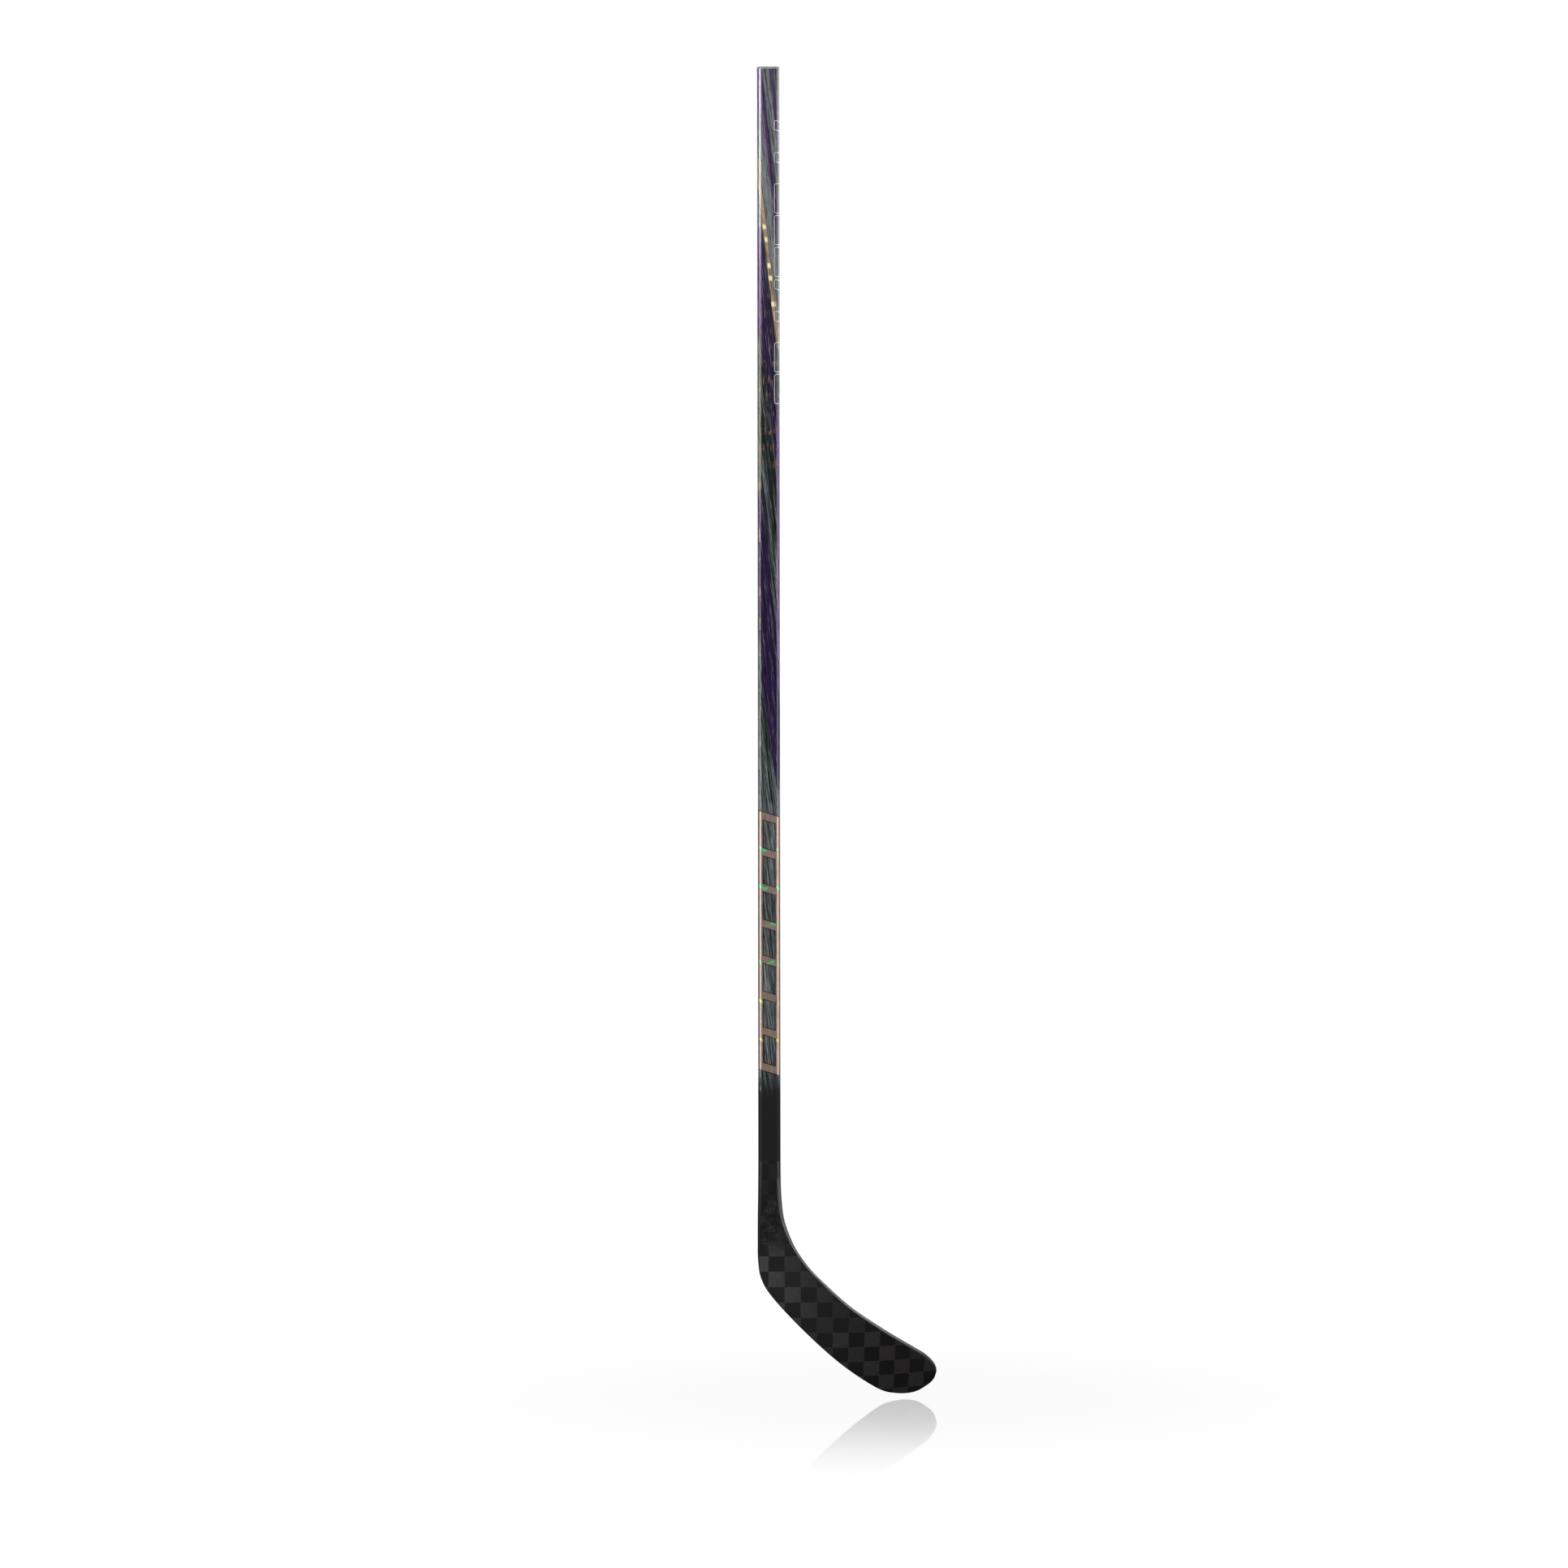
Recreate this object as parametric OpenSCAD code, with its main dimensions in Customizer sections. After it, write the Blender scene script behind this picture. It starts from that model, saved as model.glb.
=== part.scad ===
// Ice hockey stick, right-handed, one-piece composite construction.
// Origin: the heel point on the centre line of the shaft. +Z runs up the shaft to the butt end,
// +X points to the toe side and +Y is the side that the blade curves to (the forehand).

/* [Shaft] */
// Height of the top of the butt plug above the heel point
stick_h = 1524; // [1400:1:1600]
// Width of the shaft's wide faces
shaft_w = 28; // [26:0.5:30]
// Depth of the shaft, across its narrow faces
shaft_d = 19.5; // [18.5:0.5:21]
// Radius of the shaft's long corners
shaft_r = 5; // [3:0.5:6]

/* [Laminate] */
// Thickness of the outer woven ply of the shaft
outer_ply = 0.5; // [0.4:0.1:0.7]
// Thickness of the diagonal plies that resist twist
torsion_ply = 0.6; // [0.4:0.1:0.8]
// Thickness of the lengthwise plies that resist bending
axial_ply = 0.6; // [0.4:0.1:0.8]
// Thickness of the inner woven ply of the shaft
inner_ply = 0.3; // [0.2:0.1:0.5]
// Thickness of the moulding bladder left inside the shaft
bladder_t = 0.15; // [0.1:0.05:0.3]
// Thickness of the outer woven ply of the blade
face_ply = 0.6; // [0.4:0.1:0.8]
// Thickness of the diagonal plies under it
skin_ply = 0.8; // [0.6:0.1:1]

/* [Butt plug] */
// Thickness of the plug's lid
lid_t = 2.7; // [2:0.1:4]
// How far the lid stands proud of the shaft on each side
lid_lip = 0.15; // [0:0.05:0.25]
// Length of the plug's stem inside the shaft
stem_l = 45; // [30:1:60]
// Gap between the stem's ribs and the shaft's inside
stem_gap = 0.1; // [0.05:0.05:0.2]

/* [Blade] */
// Height where the shaft ends and the hosel begins
hosel_top = 150; // [140:1:160]
// Thickness of the blade at the heel
heel_t = 7; // [6:0.5:8]
// Thickness of the blade at the toe
toe_t = 5; // [4:0.5:6]
// How far the toe curves away from the plane of the shaft
curve_depth = 50; // [30:1:60]
// Growth of the curve along the blade: 2 is an even bend, more moves it to the toe
curve_power = 2.5; // [2:0.1:3]
// How much the face opens towards the toe, as a slope
face_open = 0.22; // [0:0.01:0.3]
// Depth of the solid edges of the blade
edge_w = 3; // [2:0.5:4]
// Width of the rib between the two foam cores
rib_w = 3; // [2:0.5:5]
// Length of the tenon that the blade sets in the shaft
tenon_l = 65; // [50:1:80]

/* [Graphics] */
// Number of windows in the foil ladder on each wide face
window_count = 7; // [5:1:10]
// Distance from one rung of the ladder to the next
rung_pitch = 45; // [40:1:46]
// Number of outlined blocks on the toe-side narrow face
block_count = 10; // [6:1:10]

/* [Hidden] */
$fn = 48;
wall = outer_ply + torsion_ply + axial_ply + inner_ply;
shaft_top = stick_h - lid_t;
bladder_top = shaft_top - stem_l - 2;
tenon_top = hosel_top + tenon_l;
film_t = 0.1;
foil_z = 262;
block_z = 1100;
sleeve_t = 1;
stem_wall = 1.6;
rib_count = 4;

// Points [x, z] that the blade's lower edge passes through, from the hosel round the heel to the toe
LOWER = [
    [-14, 150], [-14.3, 110], [-14.8, 77], [-14.9, 50], [-14.5, 26], [-10.5, 2], [4, -22],
    [43, -64], [89, -106.5], [134.5, -139], [159.5, -147], [183, -146], [201, -136], [208.5, -127.5]
];
// Points [x, z] that its upper edge passes through, each one straight across from a lower point
UPPER = [
    [14, 150], [14.8, 110], [18.5, 77], [28, 50], [37.5, 32.5], [50.5, 15], [67, -2],
    [100.5, -32.5], [142.5, -62], [182, -87], [196.5, -96.5], [206, -106], [210, -113], [211, -118]
];
// Direction of the blade's length below the horizontal, where the curve starts and how long it is
lay = 40;
curve_start = 20;
curve_l = 213;
twist_height = 15;
// Stations along the blade, counted from the hosel's top to the toe: four to each stretch of outline
stations = 4 * (len(LOWER) - 1);
hosel_end = 12;
heel_end = 20;
core_end = 46;
nose_start = 50;
// Resin line left between bonded pieces: across, and as a part of a station along the blade
bond = 0.06;
bond_s = 0.01;

// ---- Shaft ----

// Rounded rectangle, w by d, with corner radius r
module section(w, d, r) {
    square([w - 2 * r, d], center = true);
    square([w, d - 2 * r], center = true);
    for (x = [-1, 1], y = [-1, 1])
        translate([x * (w / 2 - r), y * (d / 2 - r)])
            circle(r);
}

// The shaft's own section, brought in by inset on every side
module shaft_section(inset) {
    section(shaft_w - 2 * inset, shaft_d - 2 * inset, max(shaft_r - inset, 0.6));
}

// A tube between two insets, from z0 to z1
module tube(outer, inner, z0, z1) {
    translate([0, 0, z0])
        linear_extrude(z1 - z0)
            difference() {
                shaft_section(outer);
                shaft_section(inner);
            }
}

module butt_plug() {
    stem_inset = wall + stem_gap;
    rib_gap = stem_l / (rib_count + 1);
    color([0.6, 0.62, 0.63]) {
        translate([0, 0, shaft_top])
            linear_extrude(lid_t)
                shaft_section(-lid_lip);
        tube(stem_inset + 0.8, stem_inset + 0.8 + stem_wall, shaft_top - stem_l, shaft_top);
        for (i = [1 : rib_count])
            tube(stem_inset, stem_inset + 1.2, shaft_top - i * rib_gap, shaft_top - i * rib_gap + 2);
    }
}

module shaft_outer_ply() {
    color([0.15, 0.12, 0.2])
        difference() {
            tube(0, outer_ply, hosel_top, shaft_top);
            foil_ladder(-1);
            foil_ladder(1);
            block_outlines();
        }
}

module shaft_torsion_plies() {
    color([0.12, 0.12, 0.13])
        tube(outer_ply, outer_ply + torsion_ply, hosel_top, shaft_top);
}

module shaft_axial_plies() {
    color([0.16, 0.16, 0.17])
        tube(wall - inner_ply - axial_ply, wall - inner_ply, hosel_top, shaft_top);
}

module shaft_inner_ply() {
    color([0.1, 0.1, 0.1])
        tube(wall - inner_ply, wall, hosel_top, shaft_top);
}

module bladder_liner() {
    color([0.8, 0.78, 0.7])
        tube(wall, wall + bladder_t, tenon_top, bladder_top);
}

// ---- Graphics, films let into the outer ply ----

// A four-sided figure with level ends and sides that lean by slant
function leaning(w, h, slant) =
    [[-w / 2, -slant / 2], [w / 2, slant / 2], [w / 2, h + slant / 2], [-w / 2, h - slant / 2]];

// The foil ladder on one wide face, wrapped a little way round its corners: side is -1 for the backhand
// and 1 for the forehand
module foil_ladder(side) {
    rung = 9;
    half = shaft_w / 2 - 1.2;
    inner = shaft_w / 2 - shaft_r - 1;
    slope = 0.3 * side;
    intersection() {
        tube(0, film_t, foil_z - 10, foil_z + window_count * rung_pitch + 20);
        translate([0, side < 0 ? 0 : shaft_d, foil_z])
            rotate([90, 0, 0])
                linear_extrude(shaft_d)
                    difference() {
                        polygon(leaning(2 * half, window_count * rung_pitch + rung, slope * 2 * half));
                        for (i = [0 : window_count - 1])
                            translate([0, i * rung_pitch + rung])
                                polygon(leaning(2 * inner, rung_pitch - rung, slope * 2 * inner));
                    }
    }
}

// Thin outlined blocks on the narrow face at the toe side
module block_outlines() {
    block_h = 30;
    for (i = [0 : block_count - 1])
        translate([shaft_w / 2 - film_t, 0, block_z + i * (block_h + 6)])
            rotate([90, 0, 90])
                linear_extrude(film_t)
                    difference() {
                        polygon(leaning(8, block_h, 5));
                        translate([0, 0.8])
                            polygon(leaning(6.4, block_h - 1.6, 4));
                    }
}

module backhand_foil() {
    color([0.7, 0.6, 0.54])
        foil_ladder(-1);
}

module forehand_foil() {
    color([0.7, 0.6, 0.54])
        foil_ladder(1);
}

module outline_blocks() {
    color([0.85, 0.85, 0.86])
        block_outlines();
}

// ---- Tenon ----

module tenon_sleeve() {
    color([0.13, 0.13, 0.14])
        tube(wall, wall + sleeve_t, hosel_top, tenon_top);
}

module tenon_core() {
    color([0.75, 0.7, 0.55])
        translate([0, 0, hosel_top])
            linear_extrude(tenon_l)
                shaft_section(wall + sleeve_t);
}

// ---- Blade ----

// A smooth curve through all the points, s from 0 to 1
function spline(p, s) =
    let (m = len(p) - 1,
         i = min(floor(s * m), m - 1),
         f = s * m - i,
         a = p[max(i - 1, 0)],
         b = p[i],
         c = p[i + 1],
         d = p[min(i + 2, m)])
    b + (c - a) * f / 2 + (2 * a - 5 * b + 4 * c - d) * f * f / 2
      + (3 * b - a - 3 * c + d) * f * f * f / 2;

// Smooth step from 0 to 1
function ease(v) =
    let (q = min(max(v, 0), 1))
    q * q * (3 - 2 * q);

// How far the middle of the blade lies in +Y at [x, z]
function bow(x, z) =
    let (q = max(0, (x * cos(lay) - z * sin(lay) - curve_start) / curve_l))
    curve_depth * pow(q, curve_power)
        - face_open * pow(q, 1.2) * (x * sin(lay) + z * cos(lay) - twist_height);

// Unit normal of the middle surface, towards +Y
function normal(x, z) =
    let (step = 0.5,
         gx = bow(x + step, z) - bow(x - step, z),
         gz = bow(x, z + step) - bow(x, z - step),
         n = [-gx, 2 * step, -gz])
    n / norm(n);

// Distance across the blade at station s
function across(s) = norm(spline(UPPER, s) - spline(LOWER, s));

// Half the thickness at station s
function half_t(s) =
    let (blade = (heel_t + (toe_t - heel_t) * s) / 2)
    blade + (shaft_d / 2 - blade) * (1 - ease(s * stations / heel_end));

// Depth of the solid edge at station s
function edge_depth(s) = edge_w + (shaft_r - edge_w) * (1 - ease(s * stations / heel_end));

// The point u across from the lower edge and n from the middle surface, at station s
function at(s, u, n) =
    let (low = spline(LOWER, s),
         high = spline(UPPER, s),
         p = low + (high - low) * u / norm(high - low))
    [p[0], bow(p[0], p[1]), p[1]] + n * normal(p[0], p[1]);

// A solid swept from one station to another. ring(s) lists [u, n] pairs: one side out, the other back.
// Both sides split their quads along the same diagonal, so that neighbouring layers match exactly.
module sweep(first, last, ring) {
    stops = concat(first + bond_s, [for (i = [first + 1 : last - 1]) i], last - bond_s) / stations;
    rings = [for (s = stops) [for (r = ring(s)) at(s, r[0], r[1])]];
    k = len(rings[0]);
    end = (len(rings) - 1) * k;
    sides = [
        for (i = [0 : len(rings) - 2], j = [0 : k - 1])
            let (a = i * k + j, b = i * k + (j + 1) % k)
            each (j < k / 2 ? [[a, b, b + k], [a, b + k, a + k]] : [[a, b, a + k], [b, b + k, a + k]])
    ];
    ends = [
        for (j = [0 : k / 2 - 2])
            let (a = j, b = j + 1, c = k - 2 - j, d = k - 1 - j)
            each [[d, c, b], [d, b, a], [end + a, end + b, end + d], [end + b, end + c, end + d]]
    ];
    polyhedron([for (r = rings) each r], concat(sides, ends));
}

// A flat ring from u0 to u1 across and from n0 to n1 in thickness
function slab_ring(u0, u1, n0, n1, cells = 4) = concat(
    [for (i = [0 : cells]) [u0 + (u1 - u0) * i / cells, n0]],
    [for (i = [cells : -1 : 0]) [u0 + (u1 - u0) * i / cells, n1]]
);

// A rounded edge that starts at u = base and stands out by c, of half thickness h.
// A negative c faces it the other way. Power 2 is an ellipse, and more is squarer.
function edge_ring(base, c, h, power, cells = 6) = [
    for (i = [0 : 2 * cells + 1])
        let (turn = -90 + 180 * i / (2 * cells + 1),
             angle = c < 0 ? -turn : turn)
        [base + c * pow(cos(angle), 2 / power), h * sign(angle) * pow(abs(sin(angle)), 2 / power)]
];

// One layer over the whole blade between its solid edges, from n0(s) to n1(s)
module layer(n0, n1) {
    sweep(0, nose_start, function(s)
        let (c = edge_depth(s) + bond)
        slab_ring(c, across(s) - c, n0(s), n1(s)));
}

// A block of core between two stations, from part f0 to part f1 across, brought in by g0 and g1
module core_block(first, last, f0, g0, f1, g1) {
    sweep(first, last, function(s)
        let (c = edge_depth(s) + bond,
             w = across(s) - 2 * c,
             h = half_t(s) - face_ply - skin_ply - bond)
        slab_ring(c + w * f0 + g0, c + w * f1 - g1, -h, h));
}

module hosel_core() {
    color([0.75, 0.7, 0.55])
        core_block(0, hosel_end, 0, 0, 1, 0);
}

module heel_block() {
    color([0.35, 0.33, 0.3])
        core_block(hosel_end, heel_end, 0, 0, 1, 0);
}

module lower_foam_core() {
    color([0.85, 0.8, 0.65])
        core_block(heel_end, core_end, 0, 0, 0.5, rib_w / 2);
}

module upper_foam_core() {
    color([0.85, 0.8, 0.65])
        core_block(heel_end, core_end, 0.5, rib_w / 2, 1, 0);
}

module core_rib() {
    color([0.2, 0.2, 0.2])
        core_block(heel_end, core_end, 0.5, bond - rib_w / 2, 0.5, bond - rib_w / 2);
}

module toe_insert() {
    color([0.3, 0.3, 0.32])
        core_block(core_end, nose_start, 0, 0, 1, 0);
}

module backhand_skin() {
    color([0.12, 0.12, 0.13])
        layer(function(s) face_ply - half_t(s), function(s) face_ply + skin_ply - half_t(s));
}

module forehand_skin() {
    color([0.12, 0.12, 0.13])
        layer(function(s) half_t(s) - face_ply - skin_ply, function(s) half_t(s) - face_ply);
}

module backhand_face() {
    color([0.14, 0.14, 0.15])
        layer(function(s) -half_t(s), function(s) face_ply - half_t(s));
}

module forehand_face() {
    color([0.14, 0.14, 0.15])
        layer(function(s) half_t(s) - face_ply, function(s) half_t(s));
}

module upper_edge() {
    color([0.35, 0.35, 0.36])
        sweep(0, nose_start, function(s)
            let (c = edge_depth(s))
            edge_ring(across(s) - c, c, half_t(s), 4 - 1.5 * ease(s * stations / heel_end)));
}

// The lower edge runs on round the toe and closes the end of the blade
module lower_edge() {
    color([0.1, 0.1, 0.1]) {
        sweep(0, nose_start + 1, function(s)
            edge_ring(edge_depth(s), -edge_depth(s), half_t(s), 4));
        sweep(nose_start, stations, function(s)
            slab_ring(0, across(s), -half_t(s), half_t(s)));
    }
}

butt_plug();
shaft_outer_ply();
shaft_torsion_plies();
shaft_axial_plies();
shaft_inner_ply();
bladder_liner();
tenon_sleeve();
tenon_core();
hosel_core();
heel_block();
lower_foam_core();
upper_foam_core();
core_rib();
toe_insert();
backhand_skin();
forehand_skin();
backhand_face();
forehand_face();
upper_edge();
lower_edge();
backhand_foil();
forehand_foil();
outline_blocks();
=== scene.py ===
"""Looks of the ice hockey stick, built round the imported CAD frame.

Metres, in the frame of the part: +Z up the shaft, +X to the toe, and the camera looks along +Y at the
backhand side. Lengths written in millimetres are multiplied by MM.
"""
import math

import bmesh
import bpy
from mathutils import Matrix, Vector


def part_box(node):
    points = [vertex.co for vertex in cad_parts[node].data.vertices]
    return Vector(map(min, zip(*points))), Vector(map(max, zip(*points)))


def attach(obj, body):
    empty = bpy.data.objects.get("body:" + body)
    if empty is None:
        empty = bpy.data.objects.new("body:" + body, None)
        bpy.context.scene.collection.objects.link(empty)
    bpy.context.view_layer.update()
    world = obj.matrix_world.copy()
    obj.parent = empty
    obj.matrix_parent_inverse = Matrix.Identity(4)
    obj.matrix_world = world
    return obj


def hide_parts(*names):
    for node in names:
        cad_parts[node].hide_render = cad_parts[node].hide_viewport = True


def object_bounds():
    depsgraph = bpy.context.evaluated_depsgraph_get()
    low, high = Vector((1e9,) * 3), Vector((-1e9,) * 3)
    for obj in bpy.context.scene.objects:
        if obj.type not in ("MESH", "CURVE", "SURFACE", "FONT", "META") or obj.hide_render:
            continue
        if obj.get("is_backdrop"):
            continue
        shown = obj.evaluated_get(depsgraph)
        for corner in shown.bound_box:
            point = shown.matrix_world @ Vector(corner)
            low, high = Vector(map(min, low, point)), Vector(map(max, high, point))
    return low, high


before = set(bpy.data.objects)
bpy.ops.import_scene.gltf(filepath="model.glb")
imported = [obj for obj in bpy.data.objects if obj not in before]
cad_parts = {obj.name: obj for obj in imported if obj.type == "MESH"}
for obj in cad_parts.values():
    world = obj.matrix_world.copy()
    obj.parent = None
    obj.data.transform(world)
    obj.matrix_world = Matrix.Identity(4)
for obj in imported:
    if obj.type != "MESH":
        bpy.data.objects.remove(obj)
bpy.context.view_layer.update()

MM = 0.001

# ---- Places and sizes taken from the frame ----

skin_low, skin_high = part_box("shaft_outer_ply")
plug_low, plug_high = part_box("butt_plug")
foil_low, foil_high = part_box("backhand_foil")
block_low, block_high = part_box("outline_blocks")
toe_low, toe_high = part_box("lower_edge")

SHAFT_W = skin_high[0] - skin_low[0]
SHAFT_D = skin_high[1] - skin_low[1]
HOSEL_TOP = skin_low[2]
SHAFT_TOP = skin_high[2]
BUTT_TOP = plug_high[2]
CORNER_R = 5 * MM
SKIN_T = 0.5 * MM
# Half of each flat of the section, the length of a corner, and the way round
FLAT_W = SHAFT_W / 2 - CORNER_R
FLAT_D = SHAFT_D / 2 - CORNER_R
ARC = math.pi * CORNER_R / 2
HALF_WAY = 2 * FLAT_W + 2 * ARC + 2 * FLAT_D
PERIMETER = 2 * HALF_WAY
# Places round the shaft from the middle of the backhand face: both ends of the narrow face, then the
# start of the forehand face
NARROW_START = FLAT_W + ARC
NARROW_END = NARROW_START + 2 * FLAT_D
BACK_START = FLAT_W + 2 * ARC + 2 * FLAT_D


# ---- Mesh helpers ----

def link(thing):
    """Puts an object into the scene."""
    bpy.context.scene.collection.objects.link(thing)
    return thing


def new_piece(name, points, faces, smooth_angle=40):
    """A mesh object from points and faces, shaded smooth except across edges sharper than the angle."""
    mesh = bpy.data.meshes.new(name)
    mesh.from_pydata([tuple(p) for p in points], [], faces)
    shape = bmesh.new()
    shape.from_mesh(mesh)
    bmesh.ops.recalc_face_normals(shape, faces=shape.faces)
    shape.to_mesh(mesh)
    shape.free()
    piece = link(bpy.data.objects.new(name, mesh))
    mesh.shade_smooth()
    mesh.set_sharp_from_angle(angle=math.radians(smooth_angle))
    return piece


def corner_attribute(piece, name, values_of_vertex):
    """Stores a number on every face corner, worked out from the face and the vertex."""
    mesh = piece.data
    layer = mesh.attributes.new(name, "FLOAT", "CORNER")
    for face in mesh.polygons:
        middle = [0.0, 0.0, 0.0]
        for index in face.vertices:
            for axis in range(3):
                middle[axis] += mesh.vertices[index].co[axis] / len(face.vertices)
        for loop in face.loop_indices:
            point = mesh.vertices[mesh.loops[loop].vertex_index].co
            layer.data[loop].value = values_of_vertex(point, middle)


def point_attribute(piece, name, values):
    """Stores a number on every vertex."""
    layer = piece.data.attributes.new(name, "FLOAT", "POINT")
    layer.data.foreach_set("value", values)


def spread(start, end, count):
    """count + 1 numbers from start to end."""
    return [start + (end - start) * i / count for i in range(count + 1)]


def sweep(rings, closed):
    """Points, and the faces that join each ring to the next: a closed loop, or a length with two ends."""
    size, count = len(rings[0]), len(rings)
    points = [p for ring in rings for p in ring]
    faces = []
    for i in range(count if closed else count - 1):
        here, there = i * size, (i + 1) % count * size
        for j in range(size):
            k = (j + 1) % size
            faces.append((here + j, here + k, there + k, there + j))
    if not closed:
        faces += [tuple(range(size)), tuple(range(len(points) - size, len(points)))]
    return points, faces


# ---- The shaft's section ----

def around(u, z, lift=0.0):
    """The point at distance u round the shaft from the middle of the backhand face, towards +X."""
    u = (u + HALF_WAY) % PERIMETER - HALF_WAY
    side = 1 if u >= 0 else -1
    t = abs(u)
    if t <= FLAT_W:
        x, y, nx, ny = t, -SHAFT_D / 2, 0, -1
    elif t <= NARROW_START:
        angle = (t - FLAT_W) / CORNER_R
        nx, ny = math.sin(angle), -math.cos(angle)
        x, y = FLAT_W + CORNER_R * nx, -FLAT_D + CORNER_R * ny
    elif t <= NARROW_END:
        x, y, nx, ny = SHAFT_W / 2, t - FLAT_W - ARC - FLAT_D, 1, 0
    elif t <= BACK_START:
        angle = (t - NARROW_END) / CORNER_R
        nx, ny = math.cos(angle), math.sin(angle)
        x, y = FLAT_W + CORNER_R * nx, FLAT_D + CORNER_R * ny
    else:
        x, y, nx, ny = HALF_WAY - t, SHAFT_D / 2, 0, 1
    return Vector((side * (x + lift * nx), y + lift * ny, z))


def distance_round(x, y):
    """The reverse of around: the distance u of the place on the shaft nearest to x, y."""
    side = 1 if x >= 0 else -1
    ax = abs(x)
    if ax > FLAT_W and y < -FLAT_D:
        u = FLAT_W + CORNER_R * math.atan2(ax - FLAT_W, -FLAT_D - y)
    elif ax > FLAT_W and y > FLAT_D:
        u = NARROW_END + CORNER_R * math.atan2(y - FLAT_D, ax - FLAT_W)
    elif abs(y) <= FLAT_D and ax > FLAT_W:
        u = NARROW_START + FLAT_D + y
    elif y < 0:
        u = ax
    else:
        u = HALF_WAY - ax
    return side * u


def stops_round():
    """Places round the section, close together on the corners."""
    ends = (0, FLAT_W, NARROW_START, NARROW_END, BACK_START, HALF_WAY)
    half = [0]
    for start, end, count in zip(ends, ends[1:], (5, 8, 6, 8, 5)):
        half += spread(start, end, count)[1:]
    return half + [-u for u in reversed(half[1:-1])]


def mark_round(piece):
    """Gives a piece on the shaft the attribute wrap: its distance round the shaft, in millimetres."""
    def value(point, middle):
        u = distance_round(point[0], point[1])
        whole = distance_round(middle[0], middle[1])
        if abs(u - whole) > HALF_WAY:
            u += math.copysign(PERIMETER, whole)
        return u / MM
    corner_attribute(piece, "wrap", value)


# ---- Blade surface, the same rules as the CAD solids, in millimetres ----

# The two outlines of hosel and blade as (x, z) places, which face each other across the blade
LOWER = [
    (-14, 150), (-14.3, 110), (-14.8, 77), (-14.9, 50), (-14.5, 26), (-10.5, 2), (4, -22),
    (43, -64), (89, -106.5), (134.5, -139), (159.5, -147), (183, -146), (201, -136), (208.5, -127.5),
]
UPPER = [
    (14, 150), (14.8, 110), (18.5, 77), (28, 50), (37.5, 32.5), (50.5, 15), (67, -2),
    (100.5, -32.5), (142.5, -62), (182, -87), (196.5, -96.5), (206, -106), (210, -113), (211, -118),
]
# How far the blade slopes down from level
LAY = math.radians(40)
# The curve and the opening of the face: start, length, depth and growth along the blade
CURVE_START, CURVE_L, CURVE_DEPTH, CURVE_POWER = 20, 213, 50, 2.5
FACE_OPEN, OPEN_POWER, TWIST_HEIGHT = 0.22, 1.2, 15
HEEL_T, TOE_T, FACE_PLY = 7, 5, 0.6
STATIONS = 4 * (len(LOWER) - 1)
# Share of the length where the hosel's section has become the blade's
HEEL_END = 20 / STATIONS


def spline(points, s):
    """A smooth curve through all the points, s from 0 to 1."""
    last = len(points) - 1
    i = min(int(s * last), last - 1)
    f = s * last - i
    a, b, c, d = (points[min(max(i + k, 0), last)] for k in (-1, 0, 1, 2))
    return tuple(
        b[n] + (c[n] - a[n]) * f / 2 + (2 * a[n] - 5 * b[n] + 4 * c[n] - d[n]) * f * f / 2
        + (3 * b[n] - a[n] - 3 * c[n] + d[n]) * f ** 3 / 2
        for n in (0, 1)
    )


def ease(value):
    """A smooth step from 0 to 1."""
    q = min(max(value, 0), 1)
    return q * q * (3 - 2 * q)


def mix(a, b, part):
    return a + (b - a) * part


def along_up(x, z):
    """Distance along the blade and height across it, from the heel point."""
    return x * math.cos(LAY) - z * math.sin(LAY), x * math.sin(LAY) + z * math.cos(LAY)


def bow(x, z):
    """How far the middle of the blade lies in +Y, in millimetres."""
    along, up = along_up(x, z)
    q = max(0, (along - CURVE_START) / CURVE_L)
    return CURVE_DEPTH * q ** CURVE_POWER - FACE_OPEN * q ** OPEN_POWER * (up - TWIST_HEIGHT)


def face_normal(x, z):
    """The direction square to the blade's middle surface, towards the forehand."""
    step = 0.5
    gx = bow(x + step, z) - bow(x - step, z)
    gz = bow(x, z + step) - bow(x, z - step)
    return Vector((-gx, 2 * step, -gz)).normalized()


def across(s):
    """The blade's width from one outline to the other."""
    return math.dist(spline(LOWER, s), spline(UPPER, s))


def blade_point(s, u, n):
    """The point u up from the lower edge and n from the middle surface, both in millimetres."""
    low, high = spline(LOWER, s), spline(UPPER, s)
    part = u / math.dist(low, high)
    x, z = mix(low[0], high[0], part), mix(low[1], high[1], part)
    return (Vector((x, bow(x, z), z)) + n * face_normal(x, z)) * MM


# ---- Shader helpers ----

def colour(code, level=1.0):
    """Linear red, green, blue and alpha from a hex colour, as it looks on a screen."""
    parts = [int(code[i:i + 2], 16) / 255 for i in (1, 3, 5)]
    linear = [p / 12.92 if p <= 0.04045 else ((p + 0.055) / 1.055) ** 2.4 for p in parts]
    return tuple(level * p for p in linear) + (1.0,)


def add_node(tree, kind, **settings):
    made = tree.nodes.new(kind)
    for name, value in settings.items():
        setattr(made, name, value)
    return made


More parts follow.
